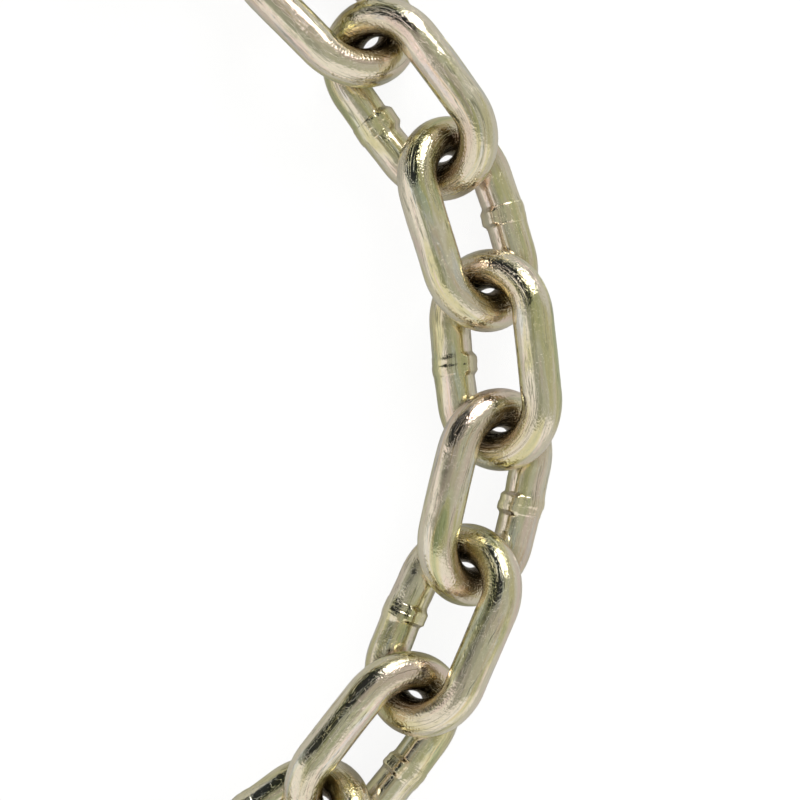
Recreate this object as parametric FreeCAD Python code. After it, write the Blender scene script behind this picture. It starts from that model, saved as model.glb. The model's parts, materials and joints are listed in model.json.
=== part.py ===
import FreeCAD, Part
import math
import os

from FreeCAD import Matrix, Placement, Rotation, Vector

# A short load binder chain: 18 welded links of 10 mm bar with a clevis grab hook at each end, lying on
# a floor in an open bow. Millimetres, +Z up. The origin is on the floor under the middle of the whole.

# ---- chain sizes
WIRE = 10.0  # diameter of the bar that a link is bent from
INSIDE_LENGTH = 34.2
INSIDE_WIDTH = 14.5
CROSSING_GAP = 0.3  # between the bars of two links where they cross

# ---- the butt weld, a proud collar round the middle of one bar
WELD_PROUD = 0.35
WELD_LENGTH = 4.6
WELD_CHAMFER = 0.3
WELD_LEAN = 37.0  # the collar is flush with the bar on the side that a link lying at this lean rests on

# ---- how the chain lies: one (heading, lean) pair for each link, in degrees
# Heading is clockwise from +X, seen from above. Lean turns a link about its own length: a positive one
# lifts the left bar of a traveller along the heading. In a bow that turns right, the links with a negative
# lean lie along the floor, and each one between two of them is held just clear of it by its neighbours.
LAY = [
    (14, 62), (23, -48), (26, 46), (33, -42), (36, 38),
    (45, -35), (54, 34), (73, -41), (84, 36), (103, -41), (113, 36), (128, -38), (143, 42),
    (153, -41), (156, 44), (165, -46), (168, 48), (177, -62),
]
ROOT = 9  # place in LAY of the link that the rest is laid out from, one that leans right

# ---- clevis grab hook, in its own frame: pin centre at the origin, X away from the chain, Y along the pin
PIN_RADIUS = 5.5
PIN_CLEARANCE = 0.1  # radial, in the ears
PIN_SEAT_GAP = 0.3  # between the pin and the end link
PIN_HEAD_RADIUS = 8.0
PIN_HEAD_THICKNESS = 4.0
PIN_HEAD_GAP = 0.3  # between the head and the ear beside it
PIN_CHAMFER = 0.8
PIN_TAIL = 7.5  # length beyond the far ear
JAW_GAP = 12.4
EAR_THICKNESS = 7.0
EAR_RADIUS = 11.0
JAW_DEPTH = 18.5  # from the pin's centre to the floor of the jaw
WEB_OVERLAP = 4.0  # how far each ear's web runs on into the body
NECK_X = 27.0  # where the spine starts to swell towards the saddle
MOUTH_X = 31.0  # the same on the slot's side, inside the slot's mouth
BODY_THICKNESS = 16.0
SADDLE_X = 61.0
SADDLE_Y = -1.0
SADDLE_WALL = 15.0
SLOT_WIDTH = 12.4
SLOT_TURN = 33.0  # the slot leans this far from the pull line, in degrees
SLOT_LENGTH = 44.0
BEAK_LIMIT = 50.0  # the beak's corner lies between MOUTH_X and here
BEAK_ROUND = 3.2
SPINE_ROUND = 25.0
MOUTH_ROUND = 10.0
EDGE_ROUND = 3.6
COTTER_RADIUS = 1.4
COTTER_HOLE_CLEARANCE = 0.1
COTTER_EYE_RADIUS = 3.0
COTTER_EYE_WIRE = 0.8  # of the cotter's own radius
COTTER_LEG_WIRE = 0.75  # the same, for each of its two legs
COTTER_NECK = 0.6  # from the clevis pin up to the eye
COTTER_STEM = 1.6  # from the clevis pin down to where the legs part
COTTER_LEG_SPREAD = 5.2  # sideways
COTTER_LEG_DROP = 2.925  # downwards
HOOK_LIFT = {"a": 0.4, "b": 4.7}  # degrees that each hook is turned up about its pin to rest on the floor

# ---- worked out from the sizes above
WIRE_RADIUS = WIRE / 2
CROWN_RADIUS = (INSIDE_WIDTH + WIRE) / 2  # of the bar's centreline round each end
HALF_BAR = (INSIDE_LENGTH - INSIDE_WIDTH) / 2  # half of a link's straight stretch
EAR_OUTER = JAW_GAP / 2 + EAR_THICKNESS
HOOK_SEAT = INSIDE_WIDTH / 2 - PIN_RADIUS - PIN_SEAT_GAP  # from the end link's bend centre to the pin's

UP = Vector(0, 0, 1)
PITCH_ROUNDS = 4  # each round brings a link's pitch closer to what its height needs
PITCH_GAIN = 0.6  # below 1 because a link's pitch also moves the two crossings
SEAT_ROUNDS = 3  # each round brings two crossing bars closer to CROSSING_GAP apart


def sind(angle):
    return math.sin(math.radians(angle))


def cosd(angle):
    return math.cos(math.radians(angle))


def placement(origin, along_x, along_y, along_z):
    """The placement that carries X, Y and Z to the three given unit vectors."""
    turn = Matrix(
        along_x.x, along_y.x, along_z.x, 0,
        along_x.y, along_y.y, along_z.y, 0,
        along_x.z, along_y.z, along_z.z, 0,
        0, 0, 0, 1,
    )
    return Placement(origin, Rotation(turn))


class Pose:
    """Where one link lies: its centre, the direction of its length and the normal of its plane."""

    def __init__(self, heading, lean, pitch):
        level = Vector(cosd(heading), -sind(heading), 0)
        left = UP.cross(level)
        self.lean = lean
        self.along = level * cosd(pitch) + UP * sind(pitch)
        rise = self.along.cross(left)
        self.across = left * cosd(lean) + rise * sind(lean)
        self.normal = self.along.cross(self.across)
        self.centre = Vector(0, 0, 0)

    def level_height(self):
        """The height of the centre when the link lies level on the floor."""
        return WIRE_RADIUS + CROWN_RADIUS * abs(sind(self.lean))

    def bend_centre(self, end):
        """The centre of the crown at the far end (+1) or the near end (-1)."""
        return self.centre + self.along * (HALF_BAR * end)

    def local(self):
        """The placement of a link drawn flat: X along it, Y towards its low bar, Z up out of its face."""
        side = -1 if self.lean > 0 else 1
        return placement(self.centre, self.along * side, self.across * side, self.normal)


def crossing_step(first, second, end):
    """From the bend centre of one link to that of the next, when each bears on the other's crown."""
    direction = first.normal.cross(second.normal)
    direction.normalize()
    if direction.dot(first.along) * end < 0:
        direction = direction * -1
    step = INSIDE_WIDTH
    crown = Part.Circle(Vector(0, 0, 0), first.normal, CROWN_RADIUS).toShape()
    for _ in range(SEAT_ROUNDS):
        next_crown = Part.Circle(direction * step, second.normal, CROWN_RADIUS).toShape()
        step += crown.distToShape(next_crown)[0] - WIRE - CROSSING_GAP
    return direction * step


def lay_next(last, heading, lean, following, end):
    """The pose of the link that crosses the last one, pitched so that its free end is at the right height.

    That is its own height on the floor, or for a propped link what lays the link that follows on the floor.
    """
    pitch = 0.0
    for _ in range(PITCH_ROUNDS):
        pose = Pose(heading, lean, pitch)
        near = last.bend_centre(end) + crossing_step(last, pose, end)
        pose.centre = near + pose.along * (HALF_BAR * end)
        target = pose.level_height()
        if lean > 0 and following:
            after = Pose(*following, 0.0)
            target = after.level_height() - crossing_step(pose, after, end).z
        missing = (target - pose.bend_centre(end).z) / (2 * HALF_BAR)
        pitch += PITCH_GAIN * math.degrees(missing) * end
    return pose


def lay_chain():
    poses = [None] * len(LAY)
    poses[ROOT] = Pose(*LAY[ROOT], 0.0)
    poses[ROOT].centre = UP * poses[ROOT].level_height()
    for end, order in ((1, range(ROOT + 1, len(LAY))), (-1, range(ROOT - 1, -1, -1))):
        for i in order:
            following = LAY[i + end] if 0 <= i + end < len(LAY) else None
            poses[i] = lay_next(poses[i - end], *LAY[i], following, end)
    return poses


def make_link():
    """One welded link, drawn flat: two half rings, two bars and the weld collar on the +Y bar."""
    solid = None
    for end in (1, -1):
        crown = Part.makeTorus(CROWN_RADIUS, WIRE_RADIUS, Vector(0, 0, 0), UP, -180, 180, 180)
        crown.rotate(Vector(0, 0, 0), UP, -90 * end)
        crown.translate(Vector(HALF_BAR * end, 0, 0))
        solid = crown if solid is None else solid.fuse(crown)
    for side in (1, -1):
        start = Vector(-HALF_BAR, CROWN_RADIUS * side, 0)
        solid = solid.fuse(Part.makeCylinder(WIRE_RADIUS, 2 * HALF_BAR, start, Vector(1, 0, 0)))
    shift = Vector(0, -sind(WELD_LEAN), cosd(WELD_LEAN)) * WELD_PROUD
    foot = Vector(-WELD_LENGTH / 2, CROWN_RADIUS, 0) + shift
    collar = Part.makeCylinder(WIRE_RADIUS + WELD_PROUD, WELD_LENGTH, foot, Vector(1, 0, 0))
    rims = [edge for edge in collar.Edges if isinstance(edge.Curve, Part.Circle)]
    collar = collar.makeChamfer(WELD_CHAMFER, rims)
    return solid.fuse(collar).removeSplitter().Solids[0]


def hook_profile():
    """The hook's outline in its own plane: an egg round the saddle, with the slot cut in from one side."""
    neck = Vector(NECK_X, 0, 0)
    saddle = Vector(SADDLE_X, SADDLE_Y, 0)
    saddle_outer = SLOT_WIDTH / 2 + SADDLE_WALL
    run = saddle - neck
    spread = math.asin((saddle_outer - EAR_OUTER) / run.Length)
    pull = math.atan2(run.y, run.x)
    corners = []
    for side in (1, -1):
        angle = pull + side * (math.pi / 2 + spread)
        outward = Vector(math.cos(angle), math.sin(angle), 0)
        corners.append((neck + outward * EAR_OUTER, saddle + outward * saddle_outer))
    (_, saddle_left), (_, saddle_right) = corners
    neck_left = Vector(MOUTH_X, EAR_OUTER, 0)
    neck_right = Vector(NECK_X, -EAR_OUTER, 0)
    bottom = saddle + run.normalize() * saddle_outer
    jaw_left = Vector(JAW_DEPTH, EAR_OUTER, 0)
    jaw_right = Vector(JAW_DEPTH, -EAR_OUTER, 0)
    wire = Part.Wire(
        [
            Part.LineSegment(jaw_right, jaw_left).toShape(),
            Part.LineSegment(jaw_left, neck_left).toShape(),
            Part.LineSegment(neck_left, saddle_left).toShape(),
            Part.Arc(saddle_left, bottom, saddle_right).toShape(),
            Part.LineSegment(saddle_right, neck_right).toShape(),
            Part.LineSegment(neck_right, jaw_right).toShape(),
        ]
    )
    return Part.Face(wire)


def slab(face, thickness):
    """A flat face thickened equally to both sides of its plane."""
    face = face.copy()
    face.translate(UP * (-thickness / 2))
    return face.extrude(UP * thickness)


def make_slot():
    """The cutter for the slot that grips a link: a round-ended groove open at the beak."""
    radius = SLOT_WIDTH / 2
    depth = BODY_THICKNESS * 2
    saddle = Vector(SADDLE_X, SADDLE_Y, -depth / 2)
    groove = Part.makeCylinder(radius, depth, saddle, UP)
    lane = Part.makeBox(SLOT_LENGTH, SLOT_WIDTH, depth, Vector(0, -radius, -depth / 2))
    lane.rotate(Vector(0, 0, 0), UP, 180 - SLOT_TURN)
    lane.translate(Vector(SADDLE_X, SADDLE_Y, 0))
    return groove.fuse(lane)


def upright_edge(solid, low, high, side):
    """The edge parallel to Z with X between low and high, on the beak's side (1) or the spine's (-1)."""
    for edge in solid.Edges:
        box = edge.BoundBox
        upright = max(box.XLength, box.YLength) < 1e-3
        if upright and low < box.Center.x < high and box.Center.y * side > 0:
            return edge
    raise ValueError("no upright edge there")


def flat_rims(solid, low):
    """Edges that bound the two flat faces of the hook's body, beyond a given X."""
    found = []
    for edge in solid.Edges:
        box = edge.BoundBox
        on_face = box.ZLength < 1e-3 and abs(abs(box.Center.z) - BODY_THICKNESS / 2) < 1e-3
        if on_face and box.XMin > low:
            found.append(edge)
    return found


def make_hook():
    """The hook: a thick plate with its slot and rounded edges, and two ears bored for the pin."""
    body = slab(hook_profile(), BODY_THICKNESS).cut(make_slot())
    body = body.makeFillet(BEAK_ROUND, [upright_edge(body, MOUTH_X, BEAK_LIMIT, 1)])
    body = body.makeFillet(SPINE_ROUND, [upright_edge(body, NECK_X - 1, NECK_X + 1, -1)])
    body = body.makeFillet(MOUTH_ROUND, [upright_edge(body, JAW_DEPTH + 1, MOUTH_X, 1)])
    body = body.makeFillet(EDGE_ROUND, flat_rims(body, JAW_DEPTH + 0.5))
    for side in (1, -1):
        inner = JAW_GAP / 2 if side > 0 else -EAR_OUTER
        boss = Part.makeCylinder(EAR_RADIUS, EAR_THICKNESS, Vector(0, inner, 0), Vector(0, 1, 0))
        corner = Vector(0, inner, -BODY_THICKNESS / 2)
        web = Part.makeBox(JAW_DEPTH + WEB_OVERLAP, EAR_THICKNESS, BODY_THICKNESS, corner)
        body = body.fuse(boss.fuse(web))
    hole_radius = PIN_RADIUS + PIN_CLEARANCE
    start = Vector(0, -2 * EAR_OUTER, 0)
    hole = Part.makeCylinder(hole_radius, 4 * EAR_OUTER, start, Vector(0, 1, 0))
    return body.cut(hole).removeSplitter().Solids[0]


def make_pin():
    """The headed pin, along Y, with a cross hole for the cotter near its tail."""
    head_face = -EAR_OUTER - PIN_HEAD_GAP
    length = EAR_OUTER + PIN_TAIL - head_face
    shank = Part.makeCylinder(PIN_RADIUS, length, Vector(0, head_face, 0), Vector(0, 1, 0))
    head_start = Vector(0, head_face - PIN_HEAD_THICKNESS, 0)
    head = Part.makeCylinder(PIN_HEAD_RADIUS, PIN_HEAD_THICKNESS, head_start, Vector(0, 1, 0))
    pin = shank.fuse(head)
    rims = [edge for edge in pin.Edges if isinstance(edge.Curve, Part.Circle)]
    ends = [edge for edge in rims if abs(edge.BoundBox.YMin - head_face) > 0.5]
    pin = pin.makeChamfer(PIN_CHAMFER, ends)
    hole_start = Vector(0, cotter_y(), -2 * PIN_RADIUS)
    hole_radius = COTTER_RADIUS + COTTER_HOLE_CLEARANCE
    hole = Part.makeCylinder(hole_radius, 4 * PIN_RADIUS, hole_start, UP)
    return pin.cut(hole).removeSplitter().Solids[0]


def cotter_y():
    return EAR_OUTER + PIN_TAIL / 2


def bent_rod(points, radius):
    """A round rod along a chain of straight runs, with a ball at each inner corner."""
    rod = None
    for first, second in zip(points, points[1:]):
        run = second - first
        stretch = Part.makeCylinder(radius, run.Length, first, run)
        rod = stretch if rod is None else rod.fuse(stretch)
    for corner in points[1:-1]:
        rod = rod.fuse(Part.makeSphere(radius, corner))
    return rod


def make_cotter():
    """A split pin through the clevis pin, along Z: an eye on top and two legs spread below."""
    y = cotter_y()
    top = PIN_RADIUS + COTTER_NECK
    bottom = -PIN_RADIUS - COTTER_STEM
    eye_centre = Vector(0, y, top + COTTER_EYE_RADIUS)
    eye = Part.makeTorus(COTTER_EYE_RADIUS, COTTER_RADIUS * COTTER_EYE_WIRE, eye_centre, Vector(0, 1, 0))
    cotter = eye.fuse(bent_rod([Vector(0, y, top), Vector(0, y, bottom)], COTTER_RADIUS))
    for side in (1, -1):
        knee = Vector(0, y, bottom)
        foot = Vector(side * COTTER_LEG_SPREAD, y, bottom - COTTER_LEG_DROP)
        cotter = cotter.fuse(bent_rod([knee, foot], COTTER_RADIUS * COTTER_LEG_WIRE))
    cotter = cotter.fuse(Part.makeSphere(COTTER_RADIUS, Vector(0, y, bottom)))
    return cotter.removeSplitter().Solids[0]


def hook_placement(pose, end, lift):
    """The hook on from an end link, its pin parallel to the link's normal."""
    pin_centre = pose.bend_centre(end) + pose.along * (end * HOOK_SEAT)
    rising = pose.across if pose.lean > 0 else pose.across * -1
    along = pose.along * (end * cosd(lift)) + rising * sind(lift)
    return placement(pin_centre, along, pose.normal, along.cross(pose.normal))


def link_name(index):
    return f"link_{index + 1:02d}"


def build():
    """Every node's solid by name, and the poses of the links, with the origin under the middle."""
    poses = lay_chain()
    link = make_link()
    nodes = {}
    for i, pose in enumerate(poses):
        nodes[link_name(i)] = link.transformed(pose.local().toMatrix())
    fittings = {"grab_hook": make_hook(), "clevis_pin": make_pin(), "cotter_pin": make_cotter()}
    for letter, pose, end in (("a", poses[0], -1), ("b", poses[-1], 1)):
        place = hook_placement(pose, end, HOOK_LIFT[letter]).toMatrix()
        for name, solid in fittings.items():
            nodes[f"{name}_{letter}"] = solid.transformed(place)
    box = Part.makeCompound(list(nodes.values())).optimalBoundingBox()
    shift = Vector(-box.Center.x, -box.Center.y, -box.ZMin)
    for solid in nodes.values():
        solid.translate(shift)
    for pose in poses:
        pose.centre = pose.centre + shift
    return nodes, poses


def main():
    os.makedirs("parts", exist_ok=True)
    nodes, _ = build()
    for name, solid in nodes.items():
        solid.exportStep(f"parts/{name}.step")


if __name__ == "__main__":
    main()
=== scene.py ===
import json
import math

import bpy
import numpy as np
from mathutils import Matrix, Vector


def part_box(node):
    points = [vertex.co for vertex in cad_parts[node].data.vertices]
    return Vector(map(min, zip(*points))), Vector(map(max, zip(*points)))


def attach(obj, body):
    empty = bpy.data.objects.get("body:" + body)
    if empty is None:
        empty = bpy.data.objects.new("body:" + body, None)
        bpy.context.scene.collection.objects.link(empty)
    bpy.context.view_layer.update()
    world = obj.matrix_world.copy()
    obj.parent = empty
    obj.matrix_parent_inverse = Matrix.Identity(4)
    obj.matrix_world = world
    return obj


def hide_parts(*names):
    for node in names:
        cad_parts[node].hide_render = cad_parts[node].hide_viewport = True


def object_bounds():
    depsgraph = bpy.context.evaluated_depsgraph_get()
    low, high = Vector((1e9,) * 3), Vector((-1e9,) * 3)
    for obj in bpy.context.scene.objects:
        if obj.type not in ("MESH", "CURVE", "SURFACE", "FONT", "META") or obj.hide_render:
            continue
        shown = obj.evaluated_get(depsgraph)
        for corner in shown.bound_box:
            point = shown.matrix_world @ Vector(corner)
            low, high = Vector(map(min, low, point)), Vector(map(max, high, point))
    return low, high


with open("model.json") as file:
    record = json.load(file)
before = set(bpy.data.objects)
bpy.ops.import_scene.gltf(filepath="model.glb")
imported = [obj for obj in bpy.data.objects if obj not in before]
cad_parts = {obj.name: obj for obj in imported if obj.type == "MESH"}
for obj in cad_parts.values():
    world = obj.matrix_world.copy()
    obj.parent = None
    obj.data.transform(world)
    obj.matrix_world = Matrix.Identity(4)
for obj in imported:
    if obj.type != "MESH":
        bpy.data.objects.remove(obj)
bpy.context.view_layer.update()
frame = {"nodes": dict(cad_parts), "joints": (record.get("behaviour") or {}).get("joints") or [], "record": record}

# Lengths are in millimetres while a shape is worked out, and MM turns them into metres.
MM = 0.001
TURN = 2 * math.pi
ANY_PHASE = 6.3  # a full turn, rounded up, for random phases

# ---- the link's sizes, as the CAD has them
WIRE_RADIUS = 5.0
CROWN_RADIUS = 12.25  # of the bar's centreline round each end
HALF_BAR = 9.85  # half of a straight stretch
LOOP = 4 * HALF_BAR + TURN * CROWN_RADIUS  # once round the centreline

# ---- the mesh of a link
AROUND = 72  # points round the bar
WELD_SPAN = 4.2  # to each side of the weld's middle, where the rows lie closer
WELD_STEP = 0.10
PLAIN_ROWS = 236  # round the rest of the loop

# ---- the fittings' sizes, as the CAD has them
COTTER_Y = 16.95  # along the clevis pin, from the hook's middle
PIN_RADIUS = 5.5
NECK_X = 24.0  # past here the hook is as forged; nearer the pin it is machined

# ---- the cotter pin's wire, a half-round bent double
COTTER_RADIUS = 1.35
COTTER_EYE = 3.0
COTTER_NECK = 0.6  # from the clevis pin up to the eye
COTTER_STEM = 1.2  # from the clevis pin down to where the legs part

# ---- the camera and the floor, in metres
VIEW_WIDTH = 0.194
LENS, SENSOR = 150.0, 36.0  # millimetres
FLOOR_HALF = 30.0
FLOOR_GAP = 0.00005  # below the lowest point

nodes = frame["nodes"]
link_nodes = sorted(name for name in nodes if name.startswith("link_"))
bodies = frame["record"]["behaviour"]["bodies"]
body_of_node = {name: body for body, names in bodies.items() for name in names}


# ---------------------------------------------------------------- shapes

def smooth_step(low, high, value):
    t = np.clip((value - low) / (high - low), 0.0, 1.0)
    return t * t * (3 - 2 * t)


def surface_axes(mesh):
    """The middle of a mesh's surface, and its directions of most, middle and least spread."""
    mesh.calc_loop_triangles()
    corner = np.empty(len(mesh.loop_triangles) * 3, np.int32)
    mesh.loop_triangles.foreach_get("vertices", corner)
    points = np.empty(len(mesh.vertices) * 3)
    mesh.vertices.foreach_get("co", points)
    triangles = points.reshape(-1, 3)[corner.reshape(-1, 3)]
    cross = np.cross(triangles[:, 1] - triangles[:, 0], triangles[:, 2] - triangles[:, 0])
    area = np.linalg.norm(cross, axis=1)
    middle = triangles.mean(axis=1)
    centre = (middle * area[:, None]).sum(0) / area.sum()
    spread = middle - centre
    _, directions = np.linalg.eigh((spread * area[:, None]).T @ spread)
    return centre, directions[:, 2], directions[:, 1], directions[:, 0]


def link_axes(node):
    """A link's frame: X along it, Y towards its low bar, which carries the weld, and Z up out of it."""
    centre, along, across, normal = surface_axes(nodes[node].data)
    if across[2] > 0:
        across = -across
    if normal[2] < 0:
        normal = -normal
    along = np.cross(across, normal)
    turn = Matrix((along, across, normal)).transposed().to_4x4()
    return Matrix.Translation(Vector(centre)) @ turn


def centreline(s):
    """Points, outward normals and crown weight round the loop. s is 0 at the middle of the welded bar."""
    arc = math.pi * CROWN_RADIUS
    x = np.empty_like(s)
    y = np.empty_like(s)
    out_x = np.zeros_like(s)
    out_y = np.empty_like(s)
    crown = np.zeros_like(s)
    s = np.mod(s, LOOP)
    marks = np.cumsum([HALF_BAR, arc, 2 * HALF_BAR, arc, HALF_BAR])
    for part in range(5):
        start = marks[part - 1] if part else 0.0
        here = (s >= start) & (s <= marks[part])
        t = s[here] - start
        if part in (1, 3):
            side = 1 if part == 1 else -1
            angle = side * math.pi / 2 - t / CROWN_RADIUS
            out_x[here], out_y[here] = np.cos(angle), np.sin(angle)
            x[here] = side * HALF_BAR + CROWN_RADIUS * np.cos(angle)
            y[here] = CROWN_RADIUS * np.sin(angle)
            crown[here] = smooth_step(-2.0, 6.0, t) * smooth_step(-2.0, 6.0, arc - t)
        else:
            x[here] = {0: t, 2: HALF_BAR - t, 4: t - HALF_BAR}[part]
            out_y[here] = -1 if part == 2 else 1
            y[here] = CROWN_RADIUS * out_y[here]
    return x, y, out_x, out_y, crown


def around_bar(phi, at_phi):
    """How far round the bar's surface each point is from one angle, the short way."""
    return ((phi - at_phi + math.pi) % TURN - math.pi) * WIRE_RADIUS


def bell(distance, width):
    return np.exp(-((distance / width) ** 2))


def wander(random, theta, phi, waves, amplitude):
    """A smooth random surface over the loop and round the bar, made of a few waves."""
    total = np.zeros(np.broadcast(theta, phi).shape)
    for along, around in waves:
        shift = random.uniform(0, TURN, 2)
        total += np.cos(along * theta + around * phi + shift[0]) * random.uniform(0.5, 1.0)
        total += np.cos(along * theta - around * phi + shift[1]) * random.uniform(0.5, 1.0)
    return total * amplitude / len(waves)


def weld_relief(random, s, phi):
    """How far the butt weld stands proud, and where its collar is.

    It is a low collar with a lip at each end, and a tab of trimmed flash that faces the link's window.
    """
    slant = 0.0
    for order in (1, 2, 3):
        size = random.uniform(0.10, 0.28)
        slant = slant + size * np.cos(order * phi + random.uniform(0, ANY_PHASE))
    far_edge = 2.2 + slant
    near_edge = 2.1 - slant * random.uniform(0.4, 0.9)
    ramps = random.uniform(0.7, 1.3, 2)
    collar = smooth_step(-near_edge - ramps[0], -near_edge + ramps[0], s)
    collar = collar * smooth_step(-far_edge - ramps[1], -far_edge + ramps[1], -s)
    height = collar * (0.20 - 0.07 * np.cos(2 * phi + random.uniform(-0.5, 0.5)))

    for edge, side in ((-near_edge, -1), (far_edge, 1)):
        uneven = 0.5 * smooth_step(-0.3, 0.6, np.cos(phi + random.uniform(0, ANY_PHASE)))
        uneven = uneven + 0.5 * smooth_step(0.0, 0.7, np.cos(3 * phi + random.uniform(0, ANY_PHASE)))
        lip = bell(s - edge, 0.18)
        foot = bell(s - edge - side * 0.36, 0.22)
        height = height + uneven * (0.12 * lip - 0.11 * foot)

    for _ in range(7):
        at_s, at_phi = random.uniform(-2.2, 2.2), random.uniform(0, TURN)
        away = around_bar(phi, at_phi)
        size = random.uniform(-0.10, 0.14)
        height = height + size * np.exp(-(((s - at_s) / 0.5) ** 2 + (away / 0.9) ** 2))

    facing = -np.cos(phi - random.uniform(-0.25, 0.25))
    tab_height = random.uniform(0.65, 1.0)
    flat = (WIRE_RADIUS + tab_height) / np.maximum(facing, 0.3) - WIRE_RADIUS
    tab = np.minimum(flat, tab_height + 0.2) * smooth_step(0.70, 0.90, facing)
    reach = random.uniform(1.2, 1.9)
    slope = random.uniform(0.9, 1.8, 2)
    tab = tab * smooth_step(-reach - slope[0], -reach + 0.1, s)
    tab = tab * smooth_step(-reach - slope[1], -reach + 0.1, -s)
    return np.maximum(height, tab), collar


def dents(random, s, phi, count):
    """Shallow knocks all over the link, a few of them longer scrapes."""
    total = np.zeros(np.broadcast(s, phi).shape)
    for _ in range(count):
        at_s, at_phi = random.uniform(0, LOOP), random.uniform(0, TURN)
        size = random.uniform(0.5, 1.7)
        stretch = random.uniform(1.0, 2.6)
        depth = random.uniform(0.02, 0.085)
        along = (s - at_s + LOOP / 2) % LOOP - LOOP / 2
        away = around_bar(phi, at_phi)
        total += depth * np.exp(-((along / (size * stretch)) ** 2 + (away / size) ** 2))
    return total


def store(mesh, name, kind, field, values):
    """Keeps one value for each vertex, for the material to read."""
    layer = mesh.attributes.new(name, kind, "POINT")
    layer.data.foreach_set(field, values.reshape(-1).astype(np.float32))


def make_link(node, order):
    """A welded link in place of its CAD solid, with its weld, bearing wear, dents and drawing marks."""
    random = np.random.default_rng(1000 + order)
    fine = np.arange(-WELD_SPAN, WELD_SPAN, WELD_STEP)
    coarse = np.linspace(WELD_SPAN, LOOP - WELD_SPAN, PLAIN_ROWS, endpoint=False)
    s = np.concatenate([fine, coarse])[:, None]
    phi = (np.arange(AROUND) * TURN / AROUND)[None, :]
    theta = s * TURN / LOOP
    x, y, out_x, out_y, crown = (v[:, None] for v in centreline(s[:, 0]))
    signed = (s + LOOP / 2) % LOOP - LOOP / 2
    inner = 0.5 - 0.5 * np.cos(phi)

    radius = WIRE_RADIUS * (1 - 0.028 * crown) + 0 * phi
    radius = radius - 0.22 * crown * inner ** 3
    radius = radius + wander(random, theta, phi, ((1, 2), (3, 1), (5, 2), (8, 1)), 0.060)
    radius = radius + wander(random, theta, phi, ((2, 4), (5, 5), (7, 3), (3, 6)), 0.036)
    radius = radius + wander(random, theta, phi, ((2, 9), (3, 13), (4, 11), (2, 16)), 0.011)
    radius = radius + wander(random, theta, phi, ((17, 3), (23, 5), (31, 4), (40, 7)), 0.009)
    radius = radius - dents(random, s, phi, 26)
    relief, collar = weld_relief(random, signed, phi)
    radius = radius + relief

    # the two ends of the bar meet at the weld a little out of line, and both bars bow outwards
    bow = 0.30 * bell(signed, 5.0)
    bow = bow + random.uniform(-0.12, 0.12) * np.tanh(signed / 0.4) * bell(signed, 6.0)
    lift = random.uniform(-0.14, 0.14) * np.tanh(signed / 0.3) * bell(signed, 4.0)
    far = LOOP / 2 - np.abs(signed)
    plain_bow = random.uniform(-0.05, 0.22) * bell(far, 7.0)
    outward = bow + plain_bow + radius * np.cos(phi)
    px = x + out_x * outward
    py = y + out_y * outward
    pz = lift + radius * np.sin(phi)
    points = np.stack([px + 0 * phi, py + 0 * phi, pz + 0 * px], axis=-1).reshape(-1, 3) * MM

    rows, columns = s.shape[0], AROUND
    row, column = np.meshgrid(np.arange(rows), np.arange(columns), indexing="ij")
    next_row, next_column = (row + 1) % rows, (column + 1) % columns
    corners = [row * columns + column, row * columns + next_column]
    corners += [next_row * columns + next_column, next_row * columns + column]
    faces = np.stack(corners, axis=-1).reshape(-1, 4)

    mesh = bpy.data.meshes.new(node + "_forged")
    mesh.from_pydata(points.tolist(), [], faces.tolist())
    reach = LOOP / TURN
    offset = random.uniform(0, 400, 4)
    flow = np.stack(
        [
            WIRE_RADIUS * np.cos(phi) + offset[0] + 0 * s,
            WIRE_RADIUS * np.sin(phi) + offset[1] + 0 * s,
            reach * np.cos(theta) + offset[2] + 0 * phi,
        ],
        axis=-1,
    )
    store(mesh, "flow", "FLOAT_VECTOR", "vector", flow)
    values = {
        "flow_w": reach * np.sin(theta) + offset[3] + 0 * phi,
        "crown": crown + 0 * phi,
        "inner": inner + 0 * s,
        "weld": collar + 0 * phi,
    }
    for name, value in values.items():
        store(mesh, name, "FLOAT", "value", value)
    mesh.transform(link_axes(node))
    mesh.update()
    for face in mesh.polygons:
        face.use_smooth = True
    piece = bpy.data.objects.new(node + "_welded", mesh)
    bpy.context.scene.collection.objects.link(piece)
    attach(piece, body_of_node[node])
    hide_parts(node)
    return piece


# ---------------------------------------------------------------- materials

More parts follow.
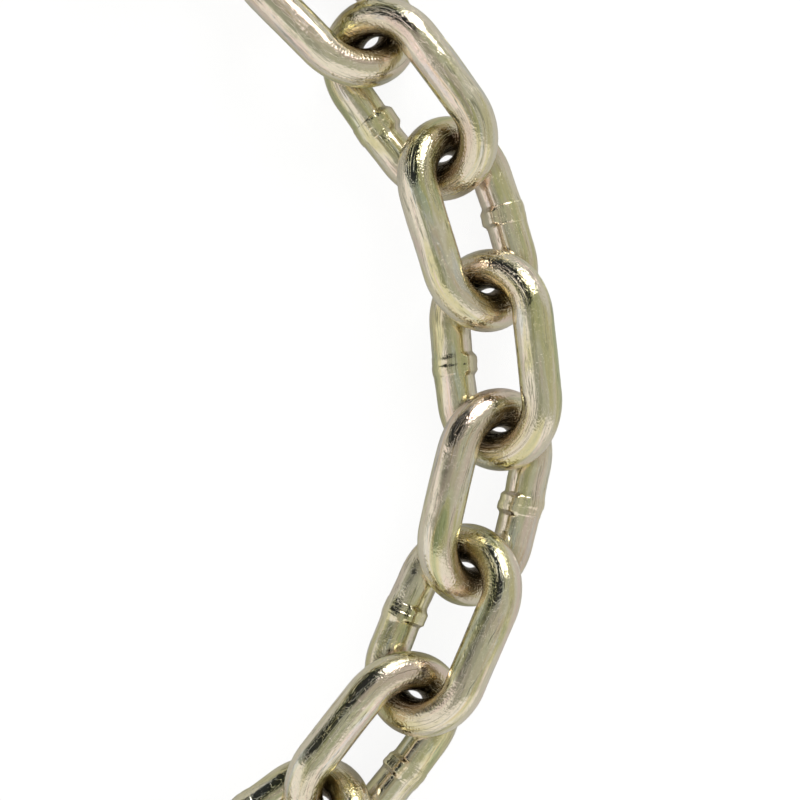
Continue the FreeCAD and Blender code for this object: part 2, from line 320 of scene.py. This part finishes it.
class Graph:
    """A node tree, built with one call for each node."""

    def __init__(self, owner):
        owner.use_nodes = True
        self.tree = owner.node_tree
        self.tree.nodes.clear()

    def set(self, socket, value):
        if isinstance(value, bpy.types.NodeSocket):
            self.tree.links.new(value, socket)
        else:
            socket.default_value = value

    def attribute(self, name, output="Fac"):
        node = self.tree.nodes.new("ShaderNodeAttribute")
        node.attribute_name = name
        return node.outputs[output]

    def math(self, kind, first, second=0.0, third=0.0):
        node = self.tree.nodes.new("ShaderNodeMath")
        node.operation = kind
        for socket, value in zip(node.inputs, (first, second, third)):
            self.set(socket, value)
        return node.outputs[0]

    def scaled(self, vector, factors):
        node = self.tree.nodes.new("ShaderNodeVectorMath")
        node.operation = "MULTIPLY"
        self.set(node.inputs[0], vector)
        node.inputs[1].default_value = factors
        return node.outputs[0]

    def noise(self, vector, scale, w=None, detail=3.0, roughness=0.5, distortion=0.0):
        node = self.tree.nodes.new("ShaderNodeTexNoise")
        if w is not None:
            node.noise_dimensions = "4D"
            self.set(node.inputs["W"], w)
        self.set(node.inputs["Vector"], vector)
        node.inputs["Scale"].default_value = scale
        node.inputs["Detail"].default_value = detail
        node.inputs["Roughness"].default_value = roughness
        node.inputs["Distortion"].default_value = distortion
        return node.outputs[0]

    def ramp(self, value, stops, smooth=True):
        node = self.tree.nodes.new("ShaderNodeValToRGB")
        node.color_ramp.interpolation = "EASE" if smooth else "LINEAR"
        elements = node.color_ramp.elements
        while len(elements) < len(stops):
            elements.new(0.5)
        for element, (at, colour) in zip(elements, stops):
            rgb = colour if isinstance(colour, tuple) else (colour, colour, colour)
            element.position = at
            element.color = (*rgb, 1.0)
        self.set(node.inputs[0], value)
        return node.outputs[0]

    def mix(self, factor, first, second, kind="MIX"):
        node = self.tree.nodes.new("ShaderNodeMix")
        node.data_type = "RGBA"
        node.blend_type = kind
        node.clamp_factor = True
        self.set(node.inputs["Factor"], factor)
        colours = [socket for socket in node.inputs if socket.type == "RGBA"]
        for socket, value in zip(colours, (first, second)):
            self.set(socket, (*value, 1.0) if isinstance(value, tuple) else value)
        return [socket for socket in node.outputs if socket.type == "RGBA"][0]

    def bump(self, height, distance, strength=1.0, normal=None):
        node = self.tree.nodes.new("ShaderNodeBump")
        node.inputs["Strength"].default_value = strength
        node.inputs["Distance"].default_value = distance
        self.set(node.inputs["Height"], height)
        if normal is not None:
            self.set(node.inputs["Normal"], normal)
        return node.outputs[0]

    def position(self, output="Object"):
        node = self.tree.nodes.new("ShaderNodeTexCoord")
        return node.outputs[output]


class Shader(Graph):
    """A node material with one Principled surface."""

    def __init__(self, name):
        self.material = bpy.data.materials.new(name)
        super().__init__(self.material)
        output = self.tree.nodes.new("ShaderNodeOutputMaterial")
        self.surface = self.tree.nodes.new("ShaderNodeBsdfPrincipled")
        self.tree.links.new(self.surface.outputs[0], output.inputs["Surface"])


OLIVE = (0.56, 0.58, 0.33)
STRAW = (0.76, 0.70, 0.42)
CREAM = (0.87, 0.80, 0.64)
ROSE = (0.88, 0.73, 0.63)
SKY = (0.70, 0.75, 0.76)
GOLD = (0.80, 0.60, 0.32)
# dark bronze: painted shade inside the links' crowns, and a random tint on the forgings
BRONZE = (0.42, 0.29, 0.12)
# dark green: painted shade along the groove lines
CREASE_SHADE_GREEN = (0.16, 0.17, 0.09)
# near black: real pits, and painted shade deepest inside the crowns
PIT_AND_SHADE_BLACK = (0.05, 0.045, 0.035)

# ---- what each part of the studio gives off
ROOM = (0.44, 0.46, 0.37)
DIM_ROOM = (0.345, 0.36, 0.30)
BIG_BOX = (0.90, 0.88, 0.86)
SIDE_BOX = (0.54, 0.54, 0.49)
GAP = (0.03, 0.033, 0.035)
KEY = (4.6, 4.6, 4.6)
BACKDROP = (1.1, 1.1, 1.1)


def chain_finish():
    """Thin yellow chromate on drawn bar: straw, olive and cream streaks with pink and blue in places."""
    shader = Shader("chain_chromate")
    flow, flow_w = shader.attribute("flow", "Vector"), shader.attribute("flow_w")
    crown, inner, weld = (shader.attribute(name) for name in ("crown", "inner", "weld"))

    def streaks(fine, along, detail=3.0, roughness=0.5, distortion=0.0):
        """Noise drawn out along the bar: fine and along are its scales across and along it."""
        vector = shader.scaled(flow, (fine, fine, along))
        w = shader.math("MULTIPLY", flow_w, along)
        return shader.noise(vector, 1.0, w, detail, roughness, distortion)

    def contour(value, level, width):
        """Thin lines where a smooth noise passes through one level."""
        away = shader.math("ABSOLUTE", shader.math("SUBTRACT", value, level))
        return shader.ramp(away, [(0.0, 1.0), (width, 0.0)])

    broad = streaks(0.24, 0.035, 2.0, 0.5, 0.5)
    tone = shader.ramp(broad, [(0.30, OLIVE), (0.42, STRAW), (0.52, CREAM), (0.68, ROSE)])
    tint = streaks(0.34, 0.05, 2.0, 0.5, 0.6)
    tone = shader.mix(shader.ramp(tint, [(0.58, 0.0), (0.68, 0.45)]), tone, SKY)
    tone = shader.mix(shader.ramp(tint, [(0.30, 0.7), (0.42, 0.0)]), tone, ROSE)
    gilt = streaks(0.8, 0.05, 2.0, 0.5, 0.4)
    tone = shader.mix(shader.ramp(gilt, [(0.60, 0.0), (0.68, 0.40)]), tone, GOLD)
    tone = shader.mix(shader.ramp(gilt, [(0.32, 0.35), (0.40, 0.0)]), tone, OLIVE)
    # painted shade: the inside of each crown, where the links cross and shade falls, is darkened to bronze and,
    # deepest in, to near black
    throat_shade = shader.math("MULTIPLY", crown, shader.math("POWER", inner, 1.6))
    tone = shader.mix(shader.math("MULTIPLY", throat_shade, 0.75), tone, BRONZE)
    deep_shade = shader.math("MULTIPLY", crown, shader.math("POWER", inner, 7.0))
    tone = shader.mix(shader.math("MULTIPLY", deep_shade, 0.85), tone, PIT_AND_SHADE_BLACK)
    mottle = shader.noise(flow, 1.3, flow_w, 4.0, 0.6)
    tone = shader.mix(0.12, tone, shader.ramp(mottle, [(0.3, 0.45), (0.7, 1.0)]), "MULTIPLY")

    where = shader.ramp(streaks(0.45, 0.09), [(0.46, 0.0), (0.56, 1.0)])
    grooves_and_shade = contour(streaks(0.85, 0.035, 2.0, 0.4, 0.25), 0.5, 0.018)
    scores = contour(streaks(1.5, 0.05, 3.0, 0.6, 0.4), 0.5, 0.016)
    hairs = contour(streaks(0.5, 0.30, 3.0, 0.6, 0.6), 0.47, 0.006)
    elsewhere = shader.ramp(streaks(0.38, 0.12), [(0.42, 0.7), (0.47, 0.0)])
    grooves_and_shade = shader.math("MULTIPLY", grooves_and_shade, where)
    grooves_and_shade = shader.math("MAXIMUM", grooves_and_shade, shader.math("MULTIPLY", scores, elsewhere))
    specks = shader.noise(flow, 3.0, flow_w, 2.0, 0.6)
    pits = shader.ramp(specks, [(0.25, 1.0), (0.31, 0.0)])
    # painted shade: the groove and score lines are darkened to green as the shade and dark reflections in their
    # creases; the bump further down also cuts them in as real grooves
    tone = shader.mix(shader.math("MULTIPLY", grooves_and_shade, 0.60), tone, CREASE_SHADE_GREEN)
    tone = shader.mix(shader.math("MULTIPLY", hairs, 0.35), tone, (0.93, 0.90, 0.82))
    tone = shader.mix(shader.math("MULTIPLY", pits, 0.75), tone, PIT_AND_SHADE_BLACK)
    tone = shader.mix(shader.math("MULTIPLY", weld, 0.3), tone, STRAW)
    shader.set(shader.surface.inputs["Base Color"], tone)

    shader.surface.inputs["Metallic"].default_value = 1.0
    rough = shader.ramp(mottle, [(0.3, 0.07), (0.7, 0.14)])
    rough = shader.mix(pits, rough, (0.6, 0.6, 0.6))
    shader.set(shader.surface.inputs["Roughness"], rough)

    scuffed = shader.ramp(streaks(0.30, 0.10, 3.0, 0.6, 0.5), [(0.60, 0.0), (0.67, 0.75)])
    coarse = shader.math("MAXIMUM", crown, scuffed)
    coarse = shader.math("MAXIMUM", coarse, shader.math("MULTIPLY", weld, 0.6))
    grain = shader.noise(flow, 1.9, flow_w, 1.0, 0.4)
    drawn = streaks(1.9, 0.22, 3.0, 0.6)
    height = shader.math("MULTIPLY", grain, shader.math("MULTIPLY_ADD", coarse, 0.52, 0.05))
    height = shader.math("MULTIPLY_ADD", drawn, 0.06, height)
    height = shader.math("MULTIPLY_ADD", grooves_and_shade, -0.30, height)
    height = shader.math("MULTIPLY_ADD", hairs, -0.10, height)
    height = shader.math("MULTIPLY_ADD", pits, -0.35, height)
    shader.set(shader.surface.inputs["Normal"], shader.bump(height, 0.0002, 0.9))
    return shader.material


def forged_finish():
    """The same chromate over the coarser skin of a drop forging."""
    shader = Shader("forged_chromate")
    place = shader.position()
    broad = shader.noise(place, 70.0, None, 4.0, 0.55, 0.5)
    tone = shader.ramp(broad, [(0.30, OLIVE), (0.45, STRAW), (0.58, CREAM), (0.72, ROSE)])
    tint = shader.noise(place, 110.0, None, 3.0, 0.5, 0.8)
    tone = shader.mix(shader.ramp(tint, [(0.58, 0.0), (0.70, 0.5)]), tone, SKY)
    tone = shader.mix(shader.ramp(tint, [(0.28, 0.4), (0.40, 0.0)]), tone, BRONZE)
    mottle = shader.noise(place, 900.0, None, 4.0, 0.6)
    tone = shader.mix(0.25, tone, shader.ramp(mottle, [(0.3, 0.45), (0.7, 1.0)]), "MULTIPLY")
    specks = shader.noise(place, 2600.0, None, 2.0, 0.6)
    pits = shader.ramp(specks, [(0.24, 1.0), (0.31, 0.0)])
    tone = shader.mix(shader.math("MULTIPLY", pits, 0.75), tone, PIT_AND_SHADE_BLACK)
    shader.set(shader.surface.inputs["Base Color"], tone)
    shader.surface.inputs["Metallic"].default_value = 1.0
    rough = shader.mix(pits, shader.ramp(mottle, [(0.3, 0.24), (0.7, 0.40)]), (0.6, 0.6, 0.6))
    shader.set(shader.surface.inputs["Roughness"], rough)
    grain = shader.noise(place, 1400.0, None, 4.0, 0.65)
    height = shader.math("MULTIPLY_ADD", pits, -0.7, grain)
    shader.set(shader.surface.inputs["Normal"], shader.bump(height, 0.00012, 0.8))
    return shader.material


def turned_finish(name, light, dark, ring_scale):
    """Turned or drawn bright metal with fine rings and a little tarnish."""
    shader = Shader(name)
    place = shader.position()
    broad = shader.noise(place, 160.0, None, 4.0, 0.55, 0.4)
    tone = shader.ramp(broad, [(0.32, dark), (0.62, light)])
    fine = shader.noise(place, ring_scale, None, 3.0, 0.6)
    tone = shader.mix(0.25, tone, shader.ramp(fine, [(0.3, 0.5), (0.7, 1.0)]), "MULTIPLY")
    shader.set(shader.surface.inputs["Base Color"], tone)
    shader.surface.inputs["Metallic"].default_value = 1.0
    shader.set(shader.surface.inputs["Roughness"], shader.ramp(fine, [(0.3, 0.18), (0.7, 0.34)]))
    shader.set(shader.surface.inputs["Normal"], shader.bump(fine, 0.00004, 0.7))
    return shader.material


# ---------------------------------------------------------------- hooks and their pins

def joint_of(body):
    return next(joint for joint in frame["joints"] if joint["child"] == body)


def hook_axes(letter):
    """A hook's frame: its pin's centre, X away from the chain, Y along the pin, Z square to the hook."""
    joint = joint_of(f"hook_{letter}_body")
    pin = Vector(joint["axis"])
    if pin.z < 0:
        pin = -pin
    origin = Vector(joint["pos_m"])
    centre = Vector(surface_axes(nodes[f"grab_hook_{letter}"].data)[0])
    normal = (centre - origin).cross(pin).normalized()
    along = pin.cross(normal)
    return Matrix.Translation(origin) @ Matrix((along, pin, normal)).transposed().to_4x4()


def shown(node, piece):
    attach(piece, body_of_node[node])
    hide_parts(node)


def evaluated_copy(source, name, modifiers):
    """A new object with the source's mesh after the given modifiers."""
    scratch = bpy.data.objects.new(name + "_scratch", source.data.copy())
    bpy.context.scene.collection.objects.link(scratch)
    for kind, settings in modifiers:
        modifier = scratch.modifiers.new(kind, kind)
        for key, value in settings.items():
            setattr(modifier, key, value)
    mesh = bpy.data.meshes.new_from_object(scratch.evaluated_get(bpy.context.evaluated_depsgraph_get()))
    bpy.data.objects.remove(scratch)
    piece = bpy.data.objects.new(name, mesh)
    bpy.context.scene.collection.objects.link(piece)
    return piece


def make_hook(letter, material):
    """The forged hook: the CAD shape with soft edges, a rolling skin and the ridge where the dies met."""
    node = f"grab_hook_{letter}"
    random = np.random.default_rng(50 + ord(letter))
    piece = evaluated_copy(
        nodes[node],
        node + "_forged",
        [
            ("WELD", {"merge_threshold": 0.00001}),
            ("REMESH", {"mode": "VOXEL", "voxel_size": 0.00055}),
            ("SMOOTH", {"factor": 0.5, "iterations": 3}),
        ],
    )
    mesh = piece.data
    axes = hook_axes(letter)
    back = axes.inverted()
    count = len(mesh.vertices)
    points = np.empty(count * 3)
    mesh.vertices.foreach_get("co", points)
    points = points.reshape(-1, 3)
    normals = np.array([vertex.normal for vertex in mesh.vertices])
    turn = np.array(back.to_3x3())
    local = (points @ turn.T + np.array(back.translation)) / MM
    facing = normals @ turn.T
    side = 1 - smooth_step(0.35, 0.75, np.abs(facing[:, 2]))
    beyond = smooth_step(NECK_X - 4.0, NECK_X, local[:, 0])
    ridge = 0.32 * bell(local[:, 2], 0.55) * side * beyond
    rolling = np.zeros(count)
    for _ in range(14):
        direction = random.normal(size=3)
        direction /= np.linalg.norm(direction)
        rolling += np.cos(local @ direction * random.uniform(0.25, 1.3) + random.uniform(0, ANY_PHASE))
    rolling *= 0.028 * smooth_step(10.0, NECK_X, local[:, 0])
    points = points + normals * ((ridge + rolling) * MM)[:, None]
    mesh.vertices.foreach_set("co", points.reshape(-1))
    mesh.update()
    for face in mesh.polygons:
        face.use_smooth = True
    mesh.materials.clear()
    mesh.materials.append(material)
    shown(node, piece)
    return axes


def make_pin(letter, material):
    """The headed pin: the CAD shape with its edges broken."""
    node = f"clevis_pin_{letter}"
    bevel = {"width": 0.0003, "segments": 3, "limit_method": "ANGLE", "angle_limit": math.radians(28)}
    modifiers = [("WELD", {"merge_threshold": 0.00001}), ("BEVEL", bevel)]
    piece = evaluated_copy(nodes[node], node + "_turned", modifiers)
    for face in piece.data.polygons:
        face.use_smooth = True
    piece.data.set_sharp_from_angle(angle=math.radians(32))
    piece.data.materials.clear()
    piece.data.materials.append(material)
    shown(node, piece)


def sweep_wire(name, path, normal, section):
    """A wire of a given section bent along a flat path. The section's X lies in the path's plane."""
    path = np.array(path)
    tangent = np.gradient(path, axis=0)
    tangent /= np.linalg.norm(tangent, axis=1)[:, None]
    across = np.cross(normal, tangent)
    rings = path[:, None, :] + across[:, None, :] * section[None, :, :1] + normal * section[None, :, 1:]
    rows, columns = rings.shape[:2]
    faces = []
    for i in range(rows - 1):
        for j in range(columns):
            k = (j + 1) % columns
            here, after = i * columns, (i + 1) * columns
            faces.append((here + j, here + k, after + k, after + j))
    faces.append(tuple(range(columns))[::-1])
    faces.append(tuple((rows - 1) * columns + j for j in range(columns)))
    mesh = bpy.data.meshes.new(name)
    mesh.from_pydata((rings.reshape(-1, 3) * MM).tolist(), [], faces)
    mesh.update()
    return mesh


def make_cotter(letter, axes, material):
    """A split pin bent from one half-round wire: an eye, two flat-sided legs, and their ends spread."""
    radius = COTTER_RADIUS
    half = radius * 0.5
    top = PIN_RADIUS + COTTER_NECK
    bottom = -PIN_RADIUS - COTTER_STEM
    eye = COTTER_EYE
    path = []
    for t in np.linspace(0, 1, 10):
        path.append((half + 5.0 * (1 - t) ** 1.15, 0, bottom - 3.2 * (1 - t)))
    for t in np.linspace(0, 1, 14)[1:]:
        path.append((half, 0, bottom + t * (top - bottom)))
    opening = math.asin(half / eye) * 1.6
    centre = top + eye * 1.02
    for angle in np.linspace(-math.pi / 2 + opening, 3 * math.pi / 2 - opening, 40):
        path.append((eye * math.cos(angle), 0, centre + eye * math.sin(angle)))
    for t in np.linspace(0, 1, 14)[:-1]:
        path.append((-half, 0, top + t * (bottom - top)))
    for t in np.linspace(0, 1, 10):
        path.append((-half - 5.6 * t ** 1.15, 0, bottom - 2.6 * t))
    angles = np.linspace(-math.pi / 2, math.pi / 2, 13)
    curved = [(half - radius * math.cos(a), radius * 0.93 * math.sin(a)) for a in angles]
    flat = [(half, y) for y in (0.55 * radius, 0.0, -0.55 * radius)]
    section = np.array(curved + flat)
    mesh = sweep_wire(f"cotter_pin_{letter}_wire", path, np.array([0.0, 1.0, 0.0]), section)
    mesh.transform(axes @ Matrix.Translation((0, COTTER_Y * MM, 0)))
    for face in mesh.polygons:
        face.use_smooth = True
    mesh.set_sharp_from_angle(angle=math.radians(50))
    mesh.materials.append(material)
    piece = bpy.data.objects.new(f"cotter_pin_{letter}_bent", mesh)
    bpy.context.scene.collection.objects.link(piece)
    shown(f"cotter_pin_{letter}", piece)


# ---------------------------------------------------------------- studio

def middle(node):
    low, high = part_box(node)
    return (low + high) / 2


def make_floor():
    """A pale frosted sheet. The camera sees through it, so links that swing below it still show."""
    low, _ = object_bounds()
    mesh = bpy.data.meshes.new("floor")
    z = low.z - FLOOR_GAP
    corners = [(x * FLOOR_HALF, y * FLOOR_HALF, z) for x, y in ((-1, -1), (1, -1), (1, 1), (-1, 1))]
    mesh.from_pydata(corners, [], [(0, 1, 2, 3)])
    floor = bpy.data.objects.new("floor", mesh)
    bpy.context.scene.collection.objects.link(floor)
    shader = Shader("floor_paper")
    tone = shader.noise(shader.position(), 300.0, None, 2.0)
    shader.set(shader.surface.inputs["Base Color"], shader.ramp(tone, [(0.3, 0.74), (0.7, 0.76)]))
    shader.surface.inputs["Roughness"].default_value = 0.9
    shader.surface.inputs["Specular IOR Level"].default_value = 0.1
    shader.surface.inputs["Emission Color"].default_value = (1.0, 1.0, 1.0, 1.0)
    seen = shader.tree.nodes.new("ShaderNodeLightPath").outputs["Is Camera Ray"]
    glow = shader.math("MULTIPLY_ADD", seen, 0.24, 0.06)
    shader.set(shader.surface.inputs["Emission Strength"], glow)
    shader.set(shader.surface.inputs["Alpha"], shader.math("MULTIPLY_ADD", seen, -0.75, 1.0))
    mesh.materials.append(shader.material)


def make_camera():
    """Straight down through a long lens, aimed beside the ninth and tenth links."""
    shift = Vector((-21.9, 7.0, 0.0)) * MM
    target = (middle("link_09") + middle("link_10")) / 2 + shift
    camera = bpy.data.cameras.new("camera")
    camera.lens = LENS
    camera.sensor_width = SENSOR
    camera.clip_start, camera.clip_end = 0.01, 100.0
    holder = bpy.data.objects.new("camera", camera)
    holder.location = target + Vector((0, 0, VIEW_WIDTH * LENS / SENSOR))
    holder.rotation_euler = (0, 0, 0)
    bpy.context.scene.collection.objects.link(holder)
    bpy.context.scene.camera = holder


def make_studio():
    """Soft light from all round, as a mirror ball on the floor would show it from above.

    X and Y run over that ball's picture from -1 to 1, so a round patch there is a lamp or a dark gap.
    """
    world = bpy.data.worlds.new("studio")
    bpy.context.scene.world = world
    sky = Graph(world)
    raised = sky.tree.nodes.new("ShaderNodeVectorMath")
    raised.operation = "ADD"
    sky.set(raised.inputs[0], sky.position("Generated"))
    raised.inputs[1].default_value = (0, 0, 1)
    ball = sky.tree.nodes.new("ShaderNodeVectorMath")
    ball.operation = "NORMALIZE"
    sky.set(ball.inputs[0], raised.outputs[0])
    parts = sky.tree.nodes.new("ShaderNodeSeparateXYZ")
    sky.set(parts.inputs[0], ball.outputs[0])
    x, y = parts.outputs[0], parts.outputs[1]

    def edge(value, low, high):
        node = sky.tree.nodes.new("ShaderNodeMapRange")
        node.interpolation_type = "SMOOTHSTEP"
        sky.set(node.inputs["Value"], value)
        node.inputs["From Min"].default_value = low
        node.inputs["From Max"].default_value = high
        return node.outputs[0]

    def patch(centre_x, centre_y, wide, tall, softness):
        across = sky.math("DIVIDE", sky.math("SUBTRACT", x, centre_x), wide)
        up = sky.math("DIVIDE", sky.math("SUBTRACT", y, centre_y), tall)
        away = sky.math("ADD", sky.math("MULTIPLY", across, across), sky.math("MULTIPLY", up, up))
        return edge(away, 1 + softness, 1 - softness)

    room = sky.mix(edge(x, 0.02, -0.04), ROOM, DIM_ROOM)
    low_side = edge(sky.math("MULTIPLY_ADD", x, 0.10, y), -0.20, -0.27)
    left_side = edge(sky.math("MULTIPLY_ADD", x, 0.62, y), -0.16, -0.22)
    left_side = sky.math("MULTIPLY", left_side, edge(x, -0.24, -0.30))
    room = sky.mix(sky.math("MAXIMUM", low_side, left_side), room, BIG_BOX)
    room = sky.mix(edge(x, 0.22, 0.42), room, sky.mix(low_side, SIDE_BOX, BIG_BOX))
    room = sky.mix(patch(-0.24, 0.36, 0.32, 0.27, 0.45), room, GAP)
    room = sky.mix(patch(0.17, 0.46, 0.18, 0.14, 0.30), room, KEY)
    seen = sky.tree.nodes.new("ShaderNodeLightPath").outputs["Is Camera Ray"]
    light = sky.tree.nodes.new("ShaderNodeBackground")
    sky.set(light.inputs["Color"], sky.mix(seen, room, BACKDROP))
    output = sky.tree.nodes.new("ShaderNodeOutputWorld")
    sky.tree.links.new(light.outputs[0], output.inputs[0])


make_camera()
make_studio()
bpy.context.scene.view_settings.view_transform = "Standard"
bpy.context.scene.view_settings.look = "None"

chromate = chain_finish()
for order, name in enumerate(link_nodes):
    make_link(name, order).data.materials.append(chromate)
forged = forged_finish()
turned = turned_finish("pin_chromate", STRAW, OLIVE, 1500.0)
zinc = turned_finish("cotter_zinc", (0.74, 0.75, 0.74), (0.50, 0.51, 0.50), 2200.0)
for letter in "ab":
    hook_frame = make_hook(letter, forged)
    make_pin(letter, turned)
    make_cotter(letter, hook_frame, zinc)
make_floor()
